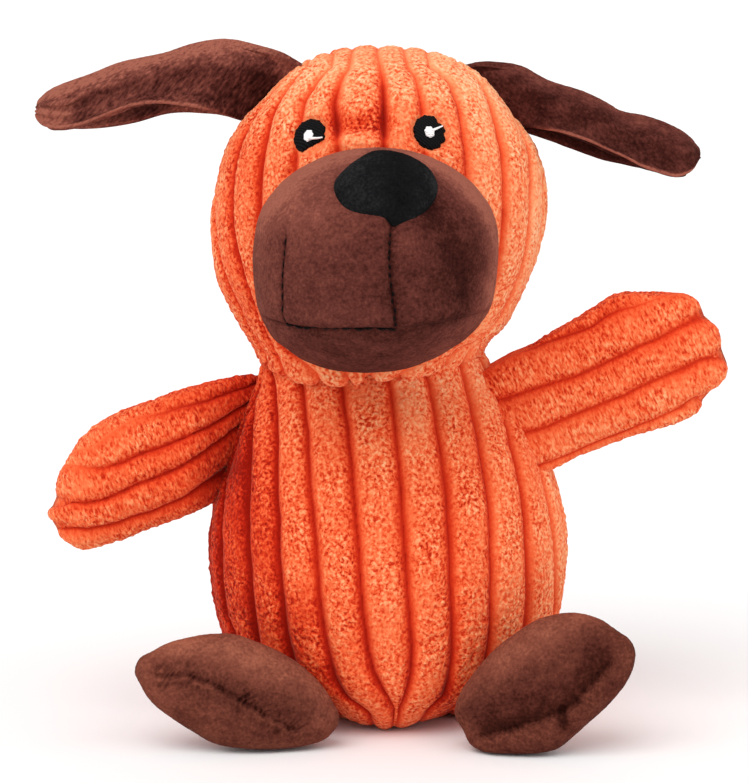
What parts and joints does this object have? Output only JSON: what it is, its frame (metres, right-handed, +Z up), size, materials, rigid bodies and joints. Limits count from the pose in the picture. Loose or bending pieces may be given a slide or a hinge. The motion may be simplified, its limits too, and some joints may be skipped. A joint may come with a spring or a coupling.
{
  "type": "squeaky plush dog toy",
  "caption": "Sitting plush dog with wide-rib corduroy head, body and arms, short-pile muzzle, ears and feet, fibre filling and a squeaker in the belly.",
  "frame": {"origin": "centre of the flat seat panel, on the surface that the toy sits on", "axes": "+Z up, +Y towards the toy's back (the face looks along -Y), +X to the viewer's right when looking at the face"},
  "size_m": [0.1907, 0.1237, 0.1902],
  "materials": {
    "corduroy": "wide-rib corduroy pile, matte",
    "brown_plush": "short pile, soft sheen",
    "black_plush": "short pile, matte",
    "filling": "loose polyester fibre",
    "orange_thread": "twisted thread",
    "brown_thread": "twisted thread",
    "black_thread": "satin stitch embroidery",
    "white_thread": "satin stitch embroidery",
    "squeaker_plastic": "moulded soft plastic"
  },
  "bodies": {
    "torso": {"body_front_panel": "corduroy", "body_back_left_panel": "corduroy", "body_back_right_panel": "corduroy", "body_base_panel": "corduroy", "body_filling": "filling", "squeaker_rear_cup": "squeaker_plastic", "squeaker_reed_holder": "squeaker_plastic", "neck_gather_thread": "orange_thread", "back_closing_stitches": "orange_thread"},
    "squeaker_press": {"squeaker_front_dome": "squeaker_plastic", "belly_filling_plug": "filling"},
    "reed": {"squeaker_reed": "squeaker_plastic"},
    "neck": {"neck_filling": "filling"},
    "head": {"head_front_panel": "corduroy", "head_back_left_panel": "corduroy", "head_back_right_panel": "corduroy", "head_filling": "filling", "muzzle_left_panel": "brown_plush", "muzzle_right_panel": "brown_plush", "muzzle_chin_panel": "brown_plush", "muzzle_filling": "filling", "nose_cover": "black_plush", "nose_filling": "filling", "eye_left_embroidery": "black_thread", "eye_left_highlight": "white_thread", "eye_right_embroidery": "black_thread", "eye_right_highlight": "white_thread", "muzzle_mouth_stitching": "brown_thread", "muzzle_centre_stitching": "brown_thread", "muzzle_side_stitching": "brown_thread"},
    "ear_left": {"ear_left_outer_panel": "brown_plush", "ear_left_inner_panel": "brown_plush"},
    "ear_right": {"ear_right_outer_panel": "brown_plush", "ear_right_inner_panel": "brown_plush"},
    "arm_left": {"arm_left_front_panel": "corduroy", "arm_left_back_panel": "corduroy", "arm_left_filling": "filling"},
    "arm_right": {"arm_right_front_panel": "corduroy", "arm_right_back_panel": "corduroy", "arm_right_filling": "filling"},
    "foot_left": {"foot_left_sole_panel": "brown_plush", "foot_left_upper_panel": "brown_plush", "foot_left_filling": "filling"},
    "foot_right": {"foot_right_sole_panel": "brown_plush", "foot_right_upper_panel": "brown_plush", "foot_right_filling": "filling"}
  },
  "joints": [
    {"name": "belly_squeeze", "type": "slide", "parent": "torso", "child": "squeaker_press", "axis": [0, 1, 0], "range_m": [0, 0.008], "stiffness_N_per_m": 500},
    {"name": "reed_flutter", "type": "hinge", "parent": "torso", "child": "reed", "pos_m": [0, 0.018, 0.048], "axis": [1, 0, 0], "range_deg": [-4, 4], "stiffness_Nm_per_rad": 0.0005},
    {"name": "neck_turn", "type": "hinge", "parent": "torso", "child": "neck", "pos_m": [-0.0015, 0, 0.098], "axis": [0, 0, 1], "range_deg": [-25, 25], "stiffness_Nm_per_rad": 0.2},
    {"name": "head_nod", "type": "hinge", "parent": "neck", "child": "head", "pos_m": [-0.0015, 0, 0.098], "axis": [1, 0, 0], "range_deg": [-10, 10], "stiffness_Nm_per_rad": 0.4},
    {"name": "ear_left_flap", "type": "hinge", "parent": "head", "child": "ear_left", "pos_m": [-0.0476, 0, 0.178], "axis": [0, 1, 0], "range_deg": [-35, 30], "stiffness_Nm_per_rad": 0.03},
    {"name": "ear_right_flap", "type": "hinge", "parent": "head", "child": "ear_right", "pos_m": [0.0446, 0, 0.173], "axis": [0, -1, 0], "range_deg": [-35, 30], "stiffness_Nm_per_rad": 0.03},
    {"name": "arm_left_swing", "type": "hinge", "parent": "torso", "child": "arm_left", "pos_m": [-0.0576, -0.007, 0.0734], "axis": [0, 1, 0], "range_deg": [-25, 60], "stiffness_Nm_per_rad": 0.06},
    {"name": "arm_right_swing", "type": "hinge", "parent": "torso", "child": "arm_right", "pos_m": [0.0496, -0.004, 0.0886], "axis": [0, -1, 0], "range_deg": [-60, 25], "stiffness_Nm_per_rad": 0.06},
    {"name": "foot_left_splay", "type": "hinge", "parent": "torso", "child": "foot_left", "pos_m": [-0.0209, -0.0425, 0.01], "axis": [0, 0, 1], "range_deg": [-4, 40], "stiffness_Nm_per_rad": 0.05},
    {"name": "foot_right_splay", "type": "hinge", "parent": "torso", "child": "foot_right", "pos_m": [0.0245, -0.0435, 0.01], "axis": [0, 0, -1], "range_deg": [-4, 40], "stiffness_Nm_per_rad": 0.05}
  ]
}
